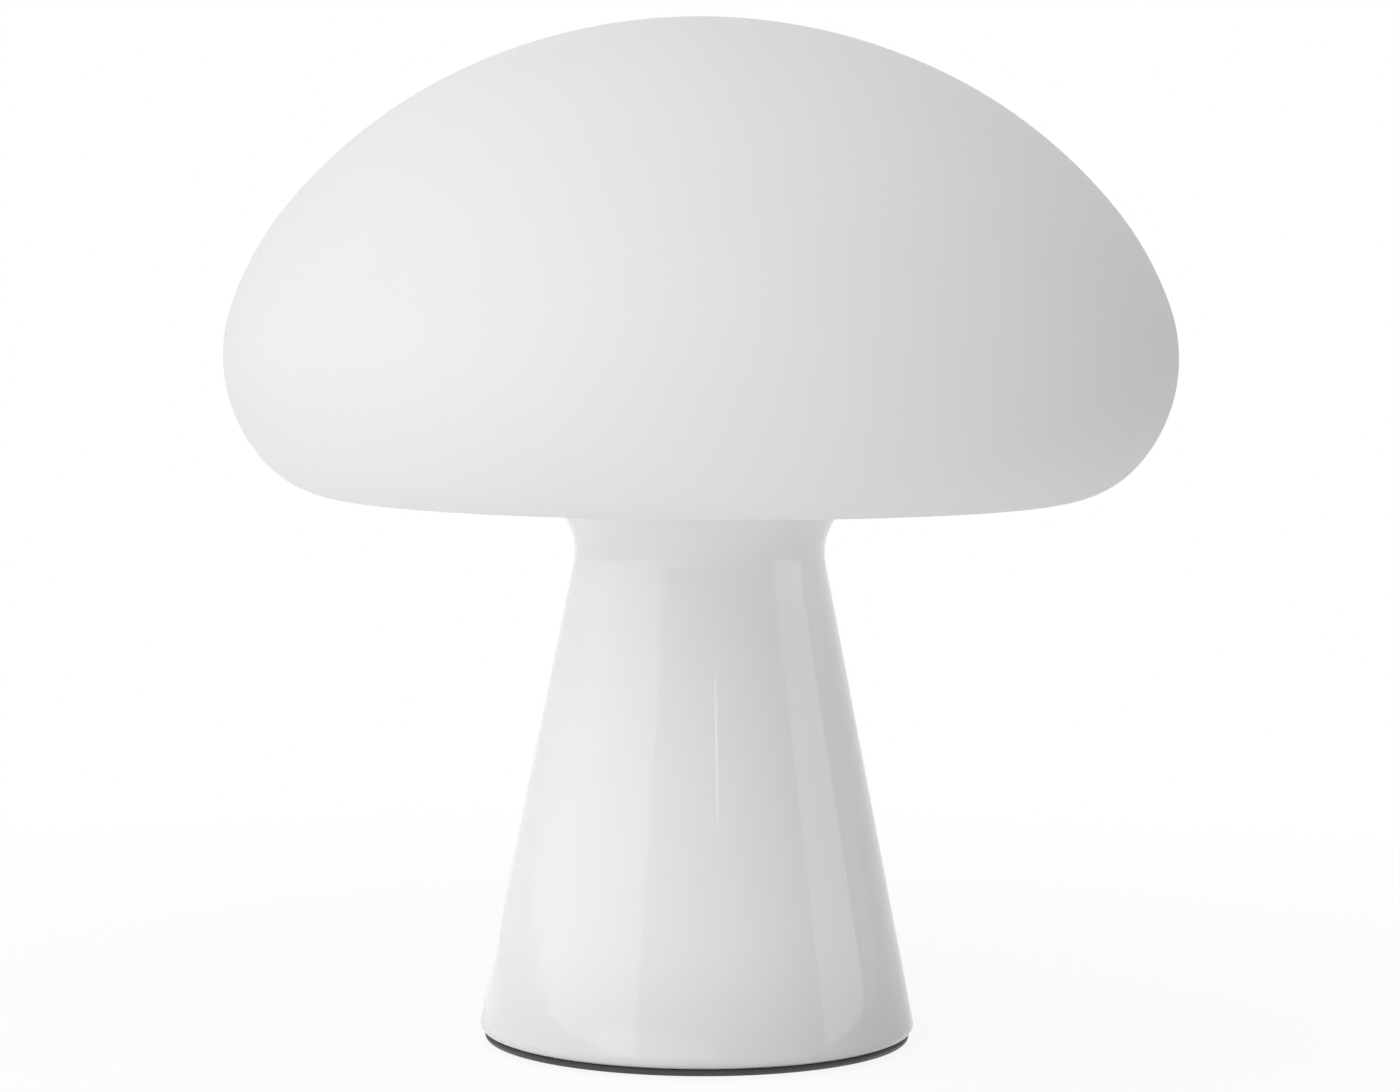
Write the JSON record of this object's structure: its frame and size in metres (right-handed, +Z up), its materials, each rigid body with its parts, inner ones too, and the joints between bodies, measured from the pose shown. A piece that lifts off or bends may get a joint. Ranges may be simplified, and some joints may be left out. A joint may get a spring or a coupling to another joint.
{
  "type": "mushroom table lamp",
  "caption": "Portable mushroom-shaped table lamp: one blown opal glass cap and stem that twists onto a low weighted base with a battery tower, LED head and underside push button.",
  "frame": {"origin": "on the table surface under the lamp's axis", "axes": "+Z up along the lamp's axis, -Y to the front"},
  "size_m": [0.2, 0.2, 0.2163],
  "materials": {
    "opal_glass": "opal white, satin etched cap and glossy stem",
    "collar_plastic": "moulded, satin",
    "clear_silicone": "cured silicone bead",
    "slip_ring": "smooth low-friction film",
    "foot_silicone": "matt silicone",
    "base_graphite": "graphite paint, satin",
    "cover_steel": "black powder coat",
    "ballast_steel": "zinc-plated",
    "screw_steel": "zinc-plated",
    "board_green": "solder mask",
    "socket_steel": "stainless",
    "switch_plastic": "moulded",
    "plunger_plastic": "moulded",
    "button_plastic": "soft-touch",
    "chip_black": "moulded",
    "capacitor_can": "drawn can",
    "led_package": "phosphor",
    "light_pipe_clear": "clear",
    "tower_plastic": "white flame-retardant moulding",
    "cell_sleeve": "shrink sleeve",
    "contact_nickel": "nickel strip",
    "insulator_card": "fibre board",
    "sink_aluminium": "turned, bead-blasted",
    "led_board_white": "white solder mask on aluminium",
    "diffuser_opal": "opal polycarbonate",
    "lead_black": "insulated lead",
    "lead_red": "insulated lead",
    "lead_white": "insulated lead"
  },
  "bodies": {
    "base": {"ballast_disc": "ballast_steel", "base_housing": "base_graphite", "battery_cell_left": "cell_sleeve", "battery_cell_right": "cell_sleeve", "battery_tower": "tower_plastic", "board_capacitors": "capacitor_can", "board_screws": "screw_steel", "bottom_cover": "cover_steel", "charge_led": "led_package", "charger_chip": "chip_black", "cover_screws": "screw_steel", "diffuser_dome": "diffuser_opal", "driver_board": "board_green", "foot_pad": "foot_silicone", "heat_sink": "sink_aluminium", "insulator_disc": "insulator_card", "led_board": "led_board_white", "led_chips": "led_package", "led_driver_chip": "chip_black", "led_leads": "lead_white", "led_screws": "screw_steel", "light_pipe": "light_pipe_clear", "negative_contact": "contact_nickel", "negative_lead": "lead_black", "positive_contact": "contact_nickel", "positive_lead": "lead_red", "power_inductor": "chip_black", "seat_ring": "slip_ring", "sink_screws": "screw_steel", "switch_body": "switch_plastic", "tower_screws": "screw_steel", "usb_socket": "socket_steel"},
    "glass": {"glass_body": "opal_glass", "glass_collar": "collar_plastic", "glass_bond": "clear_silicone"},
    "button": {"push_button": "button_plastic", "switch_plunger": "plunger_plastic"}
  },
  "joints": [
    {"name": "glass_twist", "type": "hinge", "parent": "base", "child": "glass", "pos_m": [0, 0, 0.0067], "axis": [0, 0, 1], "range_deg": [0, 24]},
    {"name": "button_press", "type": "slide", "parent": "base", "child": "button", "axis": [0, 0, 1], "range_m": [0, 0.0006], "stiffness_N_per_m": 1000}
  ]
}
